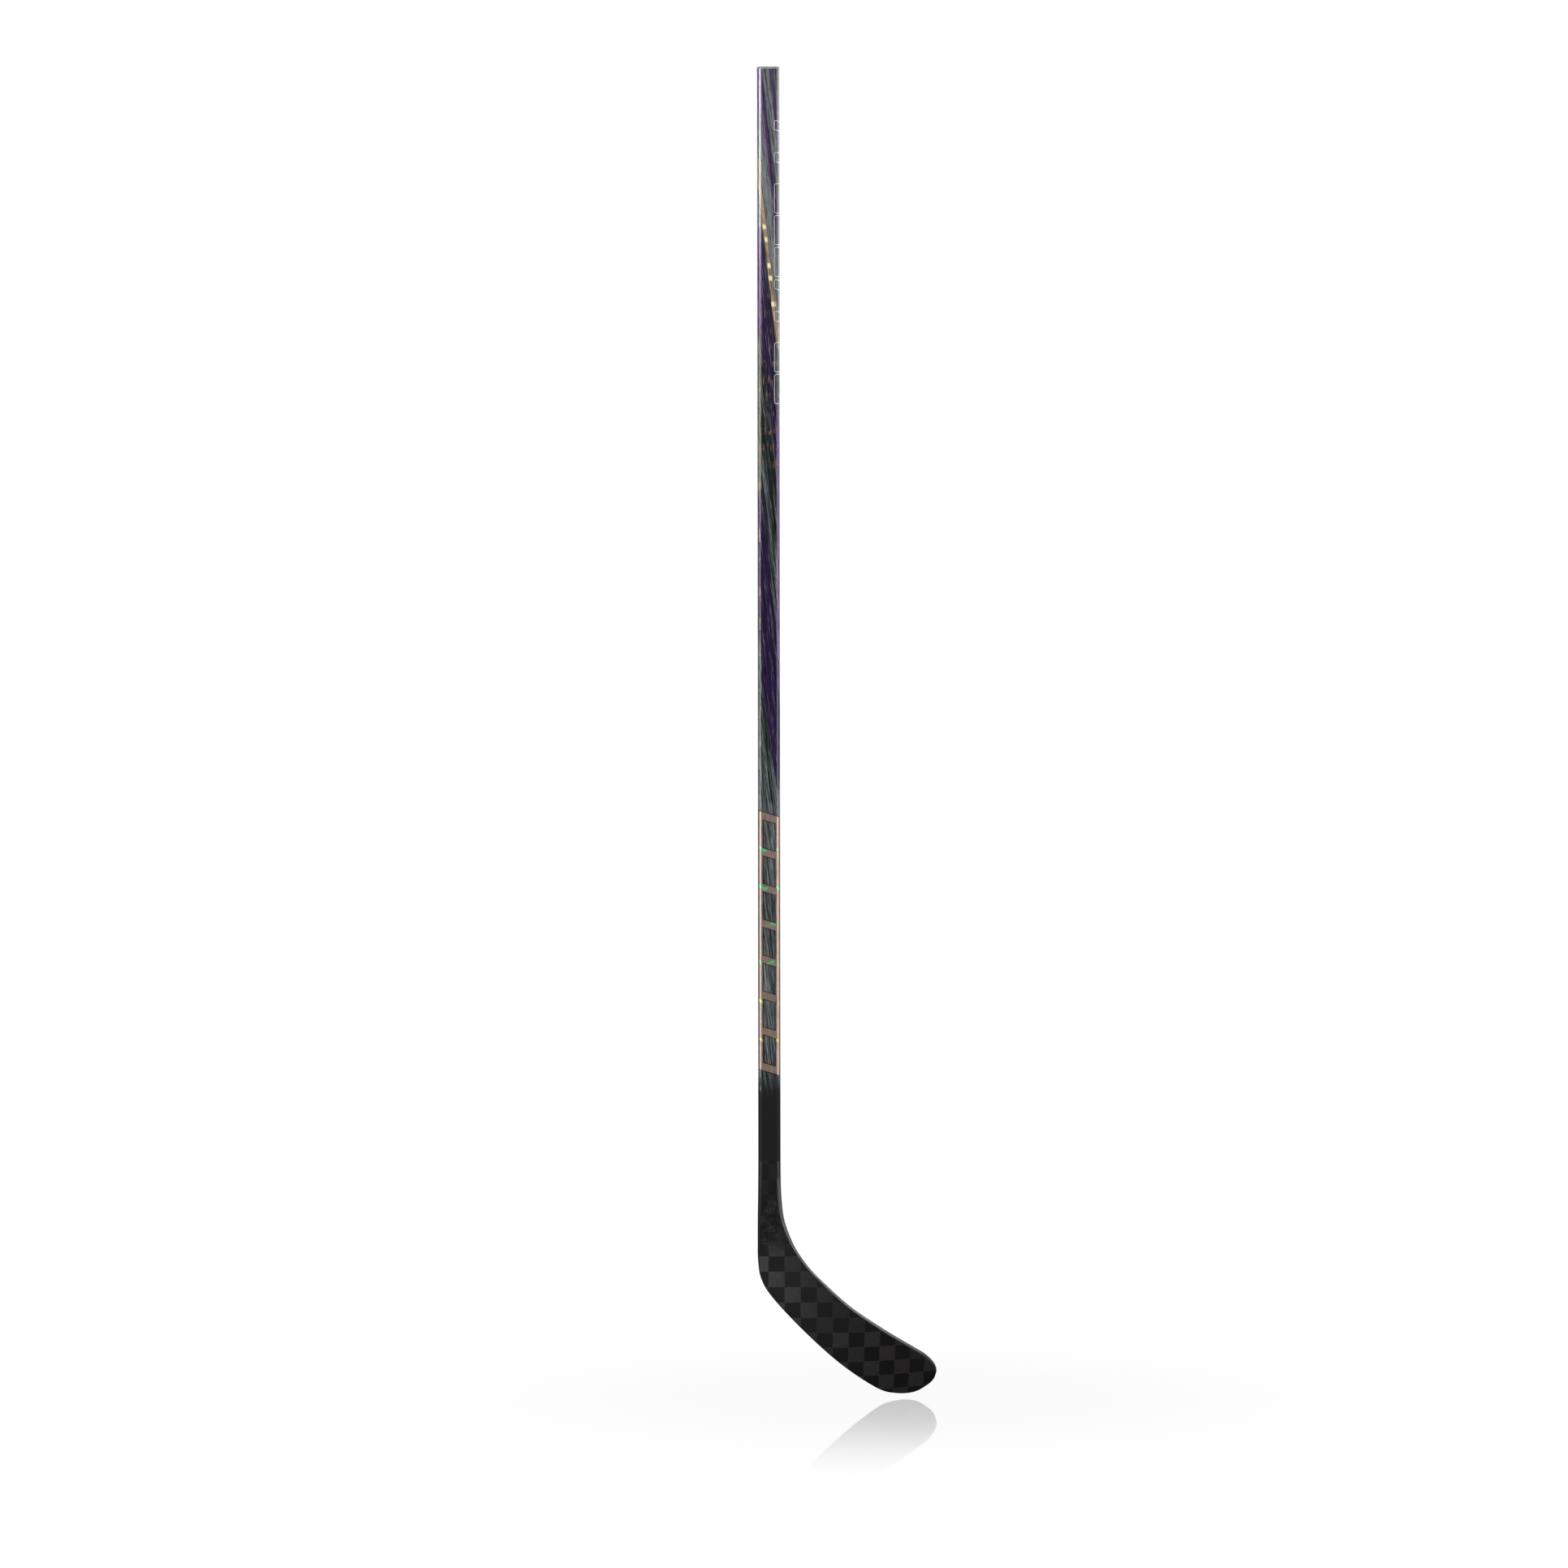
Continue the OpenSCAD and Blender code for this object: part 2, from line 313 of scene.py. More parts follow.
class Finish:
    """One material and short calls that add nodes to it."""

    def __init__(self, name, rough=0.5, specular=0.5, metallic=0.0, coat=0.0, coat_rough=0.05):
        self.material = bpy.data.materials.new(name)
        self.material.use_nodes = True
        self.tree = self.material.node_tree
        self.shader = self.tree.nodes["Principled BSDF"]
        self.set("Roughness", rough)
        self.set("Specular IOR Level", specular)
        self.set("Metallic", metallic)
        self.set("Coat Weight", coat)
        self.set("Coat Roughness", coat_rough)

    def put(self, socket, value):
        if isinstance(value, bpy.types.NodeSocket):
            self.tree.links.new(value, socket)
        else:
            socket.default_value = value

    def set(self, name, value):
        self.put(self.shader.inputs[name], value)

    def node(self, kind, **settings):
        return add_node(self.tree, kind, **settings)

    def feed(self, made, *values):
        """Puts values into the first sockets of a node, and returns its first output."""
        for socket, value in zip(made.inputs, values):
            self.put(socket, value)
        return made.outputs[0]

    def calc(self, operation, a, b=0.0, c=0.0):
        return self.feed(self.node("ShaderNodeMath", operation=operation), a, b, c)

    def times(self, *factors):
        total = factors[0]
        for factor in factors[1:]:
            total = self.calc("MULTIPLY", total, factor)
        return total

    def plus(self, *terms):
        total = terms[0]
        for term in terms[1:]:
            total = self.calc("ADD", total, term)
        return total

    def minus(self, a, b):
        return self.calc("SUBTRACT", a, b)

    def turns(self, value, pitch, start=0.0):
        """An angle that is 0 at start and makes a full turn for each pitch."""
        rate = 2 * math.pi / pitch
        return self.calc("MULTIPLY_ADD", value, rate, -start * rate)

    def ramp(self, value, low, high, start=0.0, end=1.0, smooth=True, clamp=True):
        """Runs from start to end as the value goes from low to high, and on past them without clamp."""
        made = self.node("ShaderNodeMapRange", clamp=clamp)
        made.interpolation_type = "SMOOTHSTEP" if smooth else "LINEAR"
        return self.feed(made, value, low, high, start, end)

    def window(self, value, low, high, soft):
        """1 between low and high, and 0 outside."""
        rise = self.ramp(value, low - soft, low + soft)
        return self.times(rise, self.ramp(value, high - soft, high + soft, 1.0, 0.0))

    def blend(self, part, under, over):
        made = self.node("ShaderNodeMix", data_type="RGBA")
        self.put(made.inputs[0], part)
        self.put(made.inputs[6], under)
        self.put(made.inputs[7], over)
        return made.outputs[2]

    def shade(self, base, factor):
        """The colour made darker or lighter by a factor."""
        made = self.node("ShaderNodeVectorMath", operation="SCALE")
        self.put(made.inputs[0], base[:3] if isinstance(base, tuple) else base)
        self.put(made.inputs[3], factor)
        return made.outputs[0]

    def vector(self, x, y, z):
        return self.feed(self.node("ShaderNodeCombineXYZ"), x, y, z)

    def noise(self, vector, scale, detail=2.0, rough=0.5):
        made = self.node("ShaderNodeTexNoise")
        self.put(made.inputs["Vector"], vector)
        made.inputs["Scale"].default_value = scale
        made.inputs["Detail"].default_value = detail
        made.inputs["Roughness"].default_value = rough
        return made.outputs[0]

    def streaks(self, a, b, c, detail=2.0, rough=0.5):
        """Noise at the place a, b, c. Each part is a number, or (value, factor)."""
        parts = [self.times(*part) if isinstance(part, tuple) else part for part in (a, b, c)]
        return self.noise(self.vector(*parts), 1.0, detail, rough)

    def attribute(self, name):
        return self.node("ShaderNodeAttribute", attribute_name=name).outputs["Fac"]

    def place(self):
        """x, y and z of the surface in millimetres, in the frame of the part."""
        split = self.node("ShaderNodeSeparateXYZ")
        self.put(split.inputs[0], self.node("ShaderNodeTexCoord").outputs["Object"])
        return [self.times(axis, 1 / MM) for axis in split.outputs]

    def bump(self, height, depth, strength):
        """Raises the surface by depth metres where height is 1."""
        made = self.node("ShaderNodeBump")
        made.inputs["Strength"].default_value = strength
        made.inputs["Distance"].default_value = depth
        self.put(made.inputs["Height"], height)
        self.set("Normal", made.outputs[0])


def dress(piece, finish, body, slot, *nodes):
    """Gives a piece its material and its body, and hides the CAD nodes that it stands for. slot is not used.
    """
    piece.data.materials.append(finish.material)
    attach(piece, body)
    if nodes:
        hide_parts(*nodes)
    return piece


# ---- Finishes of the shaft ----

# How far a wound strand turns round the shaft for each millimetre along it
HELIX = 0.115
ROUND_MM = PERIMETER / MM
STRAND_SOFT = 0.9
# Pitches in millimetres: painted gold glints, pairs of them, painted orange glints, the grip's dots and the
# foil's painted glints
GOLD_GLINT_PITCH, PAIR_PITCH, ORANGE_GLINT_PITCH = 16.2, 48.6, 21
DOT_ROUND, DOT_DOWN = 1.9, 2.6
PAINTED_GLINT_PITCH = 48.0


def shaft_place(finish):
    """The distance round the shaft and the distance down from its butt end, in millimetres."""
    return finish.attribute("wrap"), finish.minus(BUTT_TOP / MM, finish.place()[2])


def wound_noise(finish, wrap, down, stretch, scale, detail, rough=0.5):
    """Noise that runs with the wound strands and closes up round the shaft."""
    angle = finish.turns(finish.minus(wrap, finish.times(down, HELIX)), ROUND_MM)
    radius = ROUND_MM / (2 * math.pi)
    where = finish.vector(
        finish.times(finish.calc("COSINE", angle), radius),
        finish.times(finish.calc("SINE", angle), radius),
        finish.times(down, stretch),
    )
    return finish.noise(where, scale, detail, rough)


def strand(finish, wrap, down, jag, start, end, fade):
    """Where a wound strand lies. start and end are (distance down, place round, half width)."""
    centre = finish.ramp(down, start[0], end[0], start[1], end[1], smooth=False, clamp=False)
    half = finish.ramp(down, start[0], end[0], start[2], end[2], smooth=False)
    off = finish.calc("WRAP", finish.minus(wrap, centre), ROUND_MM / 2, -ROUND_MM / 2)
    edge = finish.minus(half, finish.calc("ABSOLUTE", off))
    inside = finish.ramp(finish.plus(edge, jag), -STRAND_SOFT, STRAND_SOFT)
    return finish.times(inside, finish.window(down, start[0], end[0], fade))


def wind_strands(finish, base, wrap, down, jag):
    """Lays the coloured strands over the base. Also returns where the gold one is."""
    def lay(code, start, end, fade=14, level=1.0):
        nonlocal base
        where = strand(finish, wrap, down, jag, start, end, fade)
        base = finish.blend(where, base, colour(code, level))
        return where

    # Toe-side and heel-side corners
    lay("#2c3133", (-20, 15, 4.4), (405, 14.5, 4.0))
    lay("#8f8f93", (30, -17, 3.5), (205, -13, 2.0))
    lay("#8a5aa6", (-30, -15.0, 3.0), (90, -11.0, 1.7))
    # Purple strands at the butt end
    lay("#6a4588", (-40, -15.0, 3.2), (215, 13.5, 3.0))
    lay("#2c1a40", (20, -7.0, 1.5), (230, 15.5, 3.0))
    lay("#4a2f66", (-30, 0.8, 2.4), (110, 14.5, 2.0))
    # Pale strand and the gold one beside it
    lay("#8b9091", (60, -16, 2.6), (300, 9, 1.6), level=0.8)
    gold = lay("#bd9f84", (110, -15.2, 2.0), (345, 11.5, 1.9))
    # Purple at the heel side, then the wide dark purple strand
    lay("#7a4f96", (205, -13.2, 4.0), (372, -9.5, 1.8))
    lay("#2a1944", (215, -8.0, 1.8), (380, 1.5, 7.6))
    lay("#271740", (350, -0.5, 7.4), (505, 13.5, 3.0))
    lay("#8c8880", (340, -12.0, 2.8), (585, -11.6, 2.6))
    lay("#73508f", (420, 15.0, 3.2), (905, 14.0, 3.2))
    # The second wide purple strand
    lay("#705080", (540, -13.5, 2.6), (720, -12.0, 2.4))
    lay("#281741", (535, -9.0, 1.4), (715, 1.0, 9.2))
    lay("#271741", (704, -2.0, 10.5), (776, 1.8, 10.2), fade=2)
    lay("#2d1b49", (764, 1.0, 10.2), (910, 19.5, 9.0), fade=6)
    # Grey at the lower corners
    lay("#7f8488", (720, -12.4, 2.8), (1275, -12.2, 2.8))
    lay("#6f7478", (900, 14.8, 3.4), (1275, 14.8, 3.4))
    # Repeats on the forehand side
    lay("#43285c", (60, 40, 3.6), (330, 68, 3.2))
    lay("#2a1a42", (330, 36, 4.0), (590, 52, 8.0))
    lay("#2b1b43", (600, 40, 8.0), (860, 60, 5.0))
    return base, gold


def add_dashes(finish, base, wrap, down, jag):
    """Cream dashes along the heel-side corner."""
    dash = finish.ramp(finish.noise(finish.vector(0.0, 0.0, down), 0.045, 1.0), 0.53, 0.58)
    rail = finish.window(finish.plus(wrap, finish.times(jag, 0.3)), -12.4, -10.4, 0.5)
    where = finish.times(dash, rail, finish.window(down, 380, 1300, 6), 0.8)
    return finish.blend(where, base, colour("#c3b49f"))


def add_threads(finish, base, gap, fine_lines):
    """Dark gaps and pale threads between the strands."""
    base = finish.blend(finish.ramp(gap, 0.53, 0.63, 0.0, 0.85), base, colour("#0f1213"))
    thread = finish.times(finish.ramp(gap, 0.34, 0.45, 0.55, 0.0), finish.ramp(fine_lines, 0.42, 0.58))
    return finish.blend(thread, base, colour("#969a9b"))


def add_painted_glints(finish, base, wrap, down, gold, coarse):
    """Painted highlights: soft gold glints in pairs on the gold strand, and small orange glints in the dark
    purple.
    """
    beads = finish.calc("COSINE", finish.turns(down, GOLD_GLINT_PITCH, 201))
    pairs = finish.calc("COSINE", finish.turns(down, PAIR_PITCH, 209))
    gold_glint_highlight = finish.times(
        gold, finish.ramp(beads, -0.3, 1.0), finish.ramp(pairs, -0.4, 0.4), finish.window(down, 190, 306, 8)
    )
    # The gold glints are painted highlights, brighter than the strand's own colour
    base = finish.blend(gold_glint_highlight, base, colour("#ffe9b4", 1.3))
    # Small orange glints in the dark purple: painted highlights
    grain = finish.streaks((wrap, 0.55), 3.0, (down, 0.055))
    sway = finish.times(coarse, 7.0)
    rows = finish.ramp(finish.calc("SINE", finish.plus(finish.turns(down, ORANGE_GLINT_PITCH), sway)), 0.0, 1.0)
    orange_glint_highlight = finish.times(finish.ramp(grain, 0.52, 0.68, 0.0, 0.75), rows, finish.window(down, 290, 500, 30))
    return finish.blend(orange_glint_highlight, base, colour("#b08067"))


def shaft_finish(name, matt):
    """Ply with wound strands in purple, silver, gold and dark green, black at the hosel. It is glossy
    under its clear coat, or matt next to the blade."""
    finish = Finish(name, rough=0.5 if matt else 0.17, specular=0.25 if matt else 0.5)
    wrap, down = shaft_place(finish)
    coarse = wound_noise(finish, wrap, down, 0.012, 0.24, 2.0)
    fine_lines = wound_noise(finish, wrap, down, 0.030, 0.80, 3.0, 0.65)
    hair = wound_noise(finish, wrap, down, 0.050, 2.6, 3.0, 0.75)
    gap = wound_noise(finish, wrap, down, 0.026, 0.95, 2.0, 0.6)
    jag = finish.calc("MULTIPLY_ADD", fine_lines, 6.0, -3.0)

    butt_share = finish.ramp(down, 230, 330, 0.07, -0.04)
    low_share = finish.ramp(down, 880, 980, 0.0, 0.05)
    lines = finish.plus(finish.times(coarse, 0.45), finish.times(fine_lines, 0.55))
    silver = finish.ramp(finish.plus(lines, butt_share, low_share), 0.42, 0.66)
    base = finish.blend(silver, colour("#1d2324"), colour("#868c8e"))
    base, gold = wind_strands(finish, base, wrap, down, jag)
    base = add_dashes(finish, base, wrap, down, jag)
    base = add_threads(finish, base, gap, fine_lines)
    # Painted highlights: gold and orange glints painted into the colour
    base = add_painted_glints(finish, base, wrap, down, gold, coarse)

    # Dotted grip field
    dots = finish.times(
        finish.calc("SINE", finish.turns(wrap, DOT_ROUND)), finish.calc("SINE", finish.turns(down, DOT_DOWN))
    )
    grip = finish.times(finish.ramp(dots, 0.15, 0.7), finish.window(down, 925, 1020, 24), 0.28)
    base = finish.blend(grip, base, colour("#a7adb0"))

    # Fine dark and pale fibres over everything, then the black of the hosel with streaks into it
    base = finish.shade(base, finish.ramp(hair, 0.30, 0.66, 0.45, 1.35))
    ragged = finish.calc("MULTIPLY_ADD", fine_lines, 150.0, -75.0)
    black = finish.ramp(finish.plus(down, ragged), 1256, 1290)
    finish.set("Base Color", finish.blend(black, base, colour("#0b0c0d")))
    finish.bump(finish.plus(finish.times(hair, 0.4), finish.times(grip, 1.6)), 0.05 * MM, 0.25)
    return finish


def foil_finish():
    """Rose-gold foil, brushed along the shaft, with thin green and yellow glints across it that are painted
    reflections.
    """
    finish = Finish("rose_gold_foil", rough=0.32, specular=0.6, metallic=0.55, coat=0.8)
    wrap, down = shaft_place(finish)
    brush = finish.streaks((wrap, 1.6), 0.0, (down, 0.06), 3.0, 0.6)
    patch = finish.streaks((wrap, 0.10), 5.0, (down, 0.05))
    base = finish.blend(finish.ramp(brush, 0.3, 0.7), colour("#9a8173"), colour("#bca495"))
    base = finish.blend(finish.ramp(patch, 0.45, 0.7, 0.0, 0.45), base, colour("#8f8680"))
    # Painted reflections: thin bands of green and yellow glint painted into the foil's colour
    sway = finish.times(finish.calc("SINE", finish.times(wrap, 0.34)), 2.2)
    ring = finish.calc("WRAP", finish.plus(down, sway), PAINTED_GLINT_PITCH, 0.0)
    share = finish.streaks((wrap, 0.16), 2.0, (down, 0.02))
    painted_glint = finish.times(finish.window(ring, 20.0, 23.4, 0.9), finish.ramp(share, 0.47, 0.56))
    painted_glint_tone = finish.blend(finish.ramp(down, 1120, 1215), colour("#63f0a0"), colour("#ffe45c"))
    finish.set("Base Color", finish.blend(painted_glint, base, painted_glint_tone))
    finish.set("Roughness", finish.ramp(brush, 0.2, 0.8, 0.22, 0.42))
    return finish


def film_finish(name, code, rough):
    """A thin printed film with a slightly uneven print."""
    finish = Finish(name, rough=rough, specular=0.5, coat=0.6, coat_rough=0.06)
    x, y, z = finish.place()
    grain = finish.noise(finish.vector(x, y, finish.times(z, 0.4)), 1.2, 3.0)
    finish.set("Base Color", finish.shade(colour(code), finish.ramp(grain, 0.3, 0.7, 0.85, 1.1)))
    return finish


def plug_finish():
    """Satin grey moulded plastic with a fine spark-eroded grain."""
    finish = Finish("moulded_grey_plastic", rough=0.42, specular=0.45)
    x, y, z = finish.place()
    where = finish.vector(x, y, z)
    grain = finish.noise(where, 2.4, 4.0, 0.65)
    cloud = finish.noise(where, 0.12, 2.0)
    base = finish.blend(finish.ramp(cloud, 0.35, 0.65), colour("#7f8485"), colour("#94999a"))
    finish.set("Base Color", finish.shade(base, finish.ramp(grain, 0.3, 0.7, 0.93, 1.05)))
    finish.set("Roughness", finish.ramp(grain, 0.3, 0.7, 0.36, 0.5))
    finish.bump(grain, 0.05 * MM, 0.5)
    return finish


# ---- Finishes of the blade ----

# Width and height of a square of the cloth, and the place of one corner between squares, in millimetres
TOW_W, TOW_H = 20.2, 19.4
TOW_X, TOW_Z = -1.3, -8.4


def cloth_squares(finish, x, z):
    """1 on every other square and 0 on the rest, the distance to the nearest edge of the square as a
    share of its size, and a random value for each square."""
    wobble = finish.noise(finish.vector(x, 0.0, z), 0.05, 1.0)
    shift = finish.calc("MULTIPLY_ADD", wobble, 1.6, -0.8)
    to_right = finish.plus(finish.minus(finish.attribute("cloth_x"), TOW_X), shift)
    to_top = finish.minus(finish.minus(finish.attribute("cloth_z"), TOW_Z), shift)
    column, row = finish.calc("DIVIDE", to_right, TOW_W), finish.calc("DIVIDE", to_top, TOW_H)
    column_no, row_no = finish.calc("FLOOR", column), finish.calc("FLOOR", row)
    odd = finish.calc("FLOORED_MODULO", finish.plus(column_no, row_no), 2.0)
    gap = finish.calc("MINIMUM", finish.calc("PINGPONG", column, 0.5), finish.calc("PINGPONG", row, 0.5))
    square = finish.node("ShaderNodeTexWhiteNoise", noise_dimensions="3D")
    finish.put(square.inputs["Vector"], finish.vector(column_no, row_no, 1.0))
    return odd, gap, square.outputs["Value"]


def cloth_colour(finish, x, y, z, odd, chance):
    """Pale and dark squares, each a little different. Both get darker towards the toe, which is painted
    shade of the toe turning away from the light.
    """
    speckle = finish.noise(finish.vector(x, y, z), 1.1, 4.0, 0.75)
    # Pale squares darker towards the toe: painted shade
    light = finish.blend(finish.ramp(x, -10, 65), colour("#404041"), colour("#2c2c2d"))
    light = finish.shade(light, finish.ramp(chance, 0.0, 1.0, 0.72, 1.12, smooth=False))
    light = finish.shade(light, finish.ramp(speckle, 0.35, 0.68, 0.66, 1.42))
    # Some pale squares near the toe are tinted reddish
    toe_red_tint = finish.times(finish.ramp(x, 130, 160), finish.ramp(chance, 0.6, 0.62), 0.5)
    light = finish.blend(toe_red_tint, light, colour("#2d2323"))
    # Dark squares darker towards the toe: painted shade
    dark = finish.blend(finish.ramp(x, 20, 150), colour("#131315"), colour("#0c0c0e"))
    dark = finish.shade(dark, finish.ramp(chance, 0.0, 1.0, 0.75, 1.25, smooth=False))
    return finish.blend(odd, light, dark)


def blade_finish():
    """Spread-tow checker cloth under satin resin, with a matt black hosel above it."""
    finish = Finish("spread_tow_checker", rough=0.5, specular=0.25)
    x, y, z = finish.place()
    odd, gap, chance = cloth_squares(finish, x, z)
    along_rows = finish.streaks((x, 0.10), 1.0, (z, 2.4), 3.0, 0.7)
    along_columns = finish.streaks((x, 2.4), 2.0, (z, 0.10), 3.0, 0.7)
    even = finish.minus(1.0, odd)
    fibre = finish.plus(finish.times(odd, along_rows), finish.times(even, along_columns))
    base = cloth_colour(finish, x, y, z, odd, chance)
    base = finish.shade(base, finish.ramp(fibre, 0.32, 0.66, 0.74, 1.28))

    # A hair-thin line where one tow passes under the next
    base = finish.blend(finish.ramp(gap, 0.006, 0.022, 0.35, 0.0), base, colour("#39393b"))

    # Matt black hosel with long streaks, and pale scuffed fibres where the cloth begins
    streak = finish.streaks((x, 1.1), 3.0, (z, 0.05), 3.0, 0.65)
    hosel = finish.shade(colour("#0e0f10"), finish.ramp(streak, 0.3, 0.7, 0.8, 1.3))
    above = finish.ramp(finish.plus(z, finish.times(streak, 10.0)), 34, 66)
    base = finish.blend(above, base, hosel)
    scratch = finish.streaks((x, 2.4), 4.0, (z, 0.20), 4.0, 0.8)
    patch = finish.noise(finish.vector(x, 7.0, z), 0.09, 1.0)
    here = finish.window(z, 42, 98, 9)
    worn = finish.times(finish.ramp(scratch, 0.52, 0.64), finish.ramp(patch, 0.44, 0.58), here, 0.5)
    finish.set("Base Color", finish.blend(worn, base, colour("#8d8d8f")))

    finish.set("Roughness", finish.ramp(odd, 0.0, 1.0, 0.44, 0.56, smooth=False))
    tuck = finish.ramp(gap, 0.0, 0.10)
    finish.bump(finish.plus(finish.times(fibre, 0.30), tuck, finish.times(worn, 0.8)), 0.07 * MM, 0.5)
    return finish


def edge_finish(name, code, rough, coat):
    """Carbon roving laid along an edge of the blade, under resin, and matt black at the hosel."""
    finish = Finish(name, rough=rough, specular=0.35, coat=coat, coat_rough=0.16)
    run, turn, z = finish.attribute("run"), finish.attribute("turn"), finish.place()[2]
    fibre = finish.streaks((run, 0.06), (turn, 2.2), 0.0, 3.0, 0.7)
    chip = finish.noise(finish.vector(finish.times(run, 0.5), turn, 2.0), 0.6, 3.0, 0.8)
    base = finish.shade(colour(code), finish.ramp(fibre, 0.3, 0.7, 0.7, 1.35))
    base = finish.blend(finish.ramp(chip, 0.70, 0.76, 0.0, 0.5), base, colour("#6f6f71"))
    above = finish.ramp(finish.plus(z, finish.times(fibre, 6.0)), 126, 136)
    finish.set("Base Color", finish.blend(above, base, colour("#0e0f10")))
    finish.bump(fibre, 0.06 * MM, 0.4)
    return finish


# ---- Finishes of the inner pieces, seen at the open butt end or when the stick is taken apart ----

def laminate_finish(name, angle, code):
    """Bare carbon laminate with fibres at an angle to the shaft, in degrees."""
    finish = Finish(name, rough=0.45, specular=0.4)
    x, y, z = finish.place()
    side = finish.plus(x, y)
    turn = math.radians(angle)
    across_fibre = finish.plus(finish.times(side, math.cos(turn)), finish.times(z, math.sin(turn)))
    along_fibre = finish.minus(finish.times(z, math.cos(turn)), finish.times(side, math.sin(turn)))
    fibre = finish.streaks((across_fibre, 2.0), (along_fibre, 0.05), 0.0, 3.0, 0.7)
    tow = finish.streaks((across_fibre, 0.3), 1.0, (along_fibre, 0.02), 1.0)
    base = finish.shade(colour(code), finish.ramp(fibre, 0.3, 0.7, 0.6, 1.6))
    finish.set("Base Color", finish.shade(base, finish.ramp(tow, 0.4, 0.6, 0.8, 1.2)))
    finish.set("Roughness", finish.ramp(fibre, 0.3, 0.7, 0.38, 0.55))
    finish.bump(fibre, 0.04 * MM, 0.6)
    return finish


def foam_finish(name, pale, dark, cell_size):
    """Foam, filled resin or elastomer: small cells with darker walls. cell_size is in millimetres."""
    finish = Finish(name, rough=0.85, specular=0.2)
    x, y, z = finish.place()
    cells = finish.node("ShaderNodeTexVoronoi", feature="DISTANCE_TO_EDGE")
    finish.put(cells.inputs["Vector"], finish.vector(x, y, z))
    cells.inputs["Scale"].default_value = 1 / cell_size
    wall = finish.ramp(cells.outputs["Distance"], 0.0, 0.12, 1.0, 0.0)
    cloud = finish.noise(finish.vector(x, y, z), 0.15, 3.0)
    base = finish.blend(wall, colour(pale), colour(dark))
    finish.set("Base Color", finish.shade(base, finish.ramp(cloud, 0.3, 0.7, 0.88, 1.1)))
    finish.bump(wall, -0.15 * MM, 0.6)
    return finish


def inner_finishes():
    """Dresses the CAD nodes that stay as they are."""
    bias = laminate_finish("bias_plies", 45, "#202123")
    lengthwise = laminate_finish("lengthwise_plies", 0, "#1a1b1c")
    hoop = laminate_finish("woven_inner_ply", 90, "#262729")
    foam = foam_finish("closed_cell_foam", "#d9cfae", "#b5a782", 0.9)
    resin = foam_finish("filled_heel_resin", "#3a3733", "#2a2724", 0.5)
    rubber = foam_finish("toe_elastomer", "#26272a", "#1b1c1e", 0.35)
    nylon = film_finish("nylon_film", "#d8cfb4", 0.3)
    look = {
        "shaft_torsion_plies": bias, "shaft_axial_plies": lengthwise, "shaft_inner_ply": hoop,
        "bladder_liner": nylon, "tenon_sleeve": bias, "tenon_core": foam, "hosel_core": foam,
        "heel_block": resin, "lower_foam_core": foam, "upper_foam_core": foam,
        "core_rib": lengthwise, "toe_insert": rubber, "backhand_skin": bias, "forehand_skin": bias,
    }
    for name, finish in look.items():
        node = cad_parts[name]
        node.data.materials.clear()
        node.data.materials.append(finish.material)


# ---- Pieces of the shaft ----

def shaft_skin(name, z0, z1, finish):
    """A length of the outer ply: a thin shell with round corners."""
    stops = stops_round()
    levels = spread(z0, z1, 44)
    outer = [[around(u, z) for u in stops] for z in levels]
    inner = [[around(u, z, -SKIN_T) for u in stops] for z in reversed(levels)]
    piece = new_piece(name, *sweep(outer + inner, True))
    mark_round(piece)
    return dress(piece, finish, "stick", "glossy_laminate", "shaft_outer_ply")


def plate(name, columns, rows, filled, slope, low, high, finish, slot, nodes):
    """A thin film wrapped on the shaft. columns are places round it, rows are heights and slope leans
    the rows; filled(i, j) says which cells of that grid are there. low and high are the lifts of its
    two sides."""
    middle = (columns[0] + columns[-1]) / 2
    size = len(columns)
    points = []
    for lift in (low, high):
        for z in rows:
            points += [around(u, z - slope * (u - middle), lift) for u in columns]
    top = len(rows) * size
    there = {(i, j) for i in range(size - 1) for j in range(len(rows) - 1) if filled(i, j)}
    faces = []
    for i, j in sorted(there):
        a, d = j * size + i, (j + 1) * size + i
        b, c = a + 1, d + 1
        faces += [(a + top, b + top, c + top, d + top), (d, c, b, a)]
        for near, p, q in (((i, j - 1), a, b), ((i + 1, j), b, c), ((i, j + 1), c, d), ((i - 1, j), d, a)):
            if near not in there:
                faces.append((p, q, q + top, p + top))
    used = sorted({index for face in faces for index in face})
    place = {index: n for n, index in enumerate(used)}
    piece = new_piece(name, [points[i] for i in used], [tuple(place[i] for i in f) for f in faces])
    mark_round(piece)
    return dress(piece, finish, "stick", slot, *nodes)


def fine(edges, step):
    """The same edges with more in between, no further apart than step."""
    stops = [edges[0]]
    for start, end in zip(edges, edges[1:]):
        count = max(1, math.ceil((end - start) / step - 1e-6))
        stops += [mix(start, end, (k + 1) / count) for k in range(count)]
    return stops


# The foil ladder: half its width, the widths of rails and rungs, the rungs' slope, the windows, the ink
LADDER_HALF = 13.4 * MM
LADDER_RAIL = 5.2 * MM
LADDER_RUNG = 9 * MM
LADDER_SLOPE = 0.30
LADDER_CELLS = 7
INK_MARGIN = 1.2 * MM


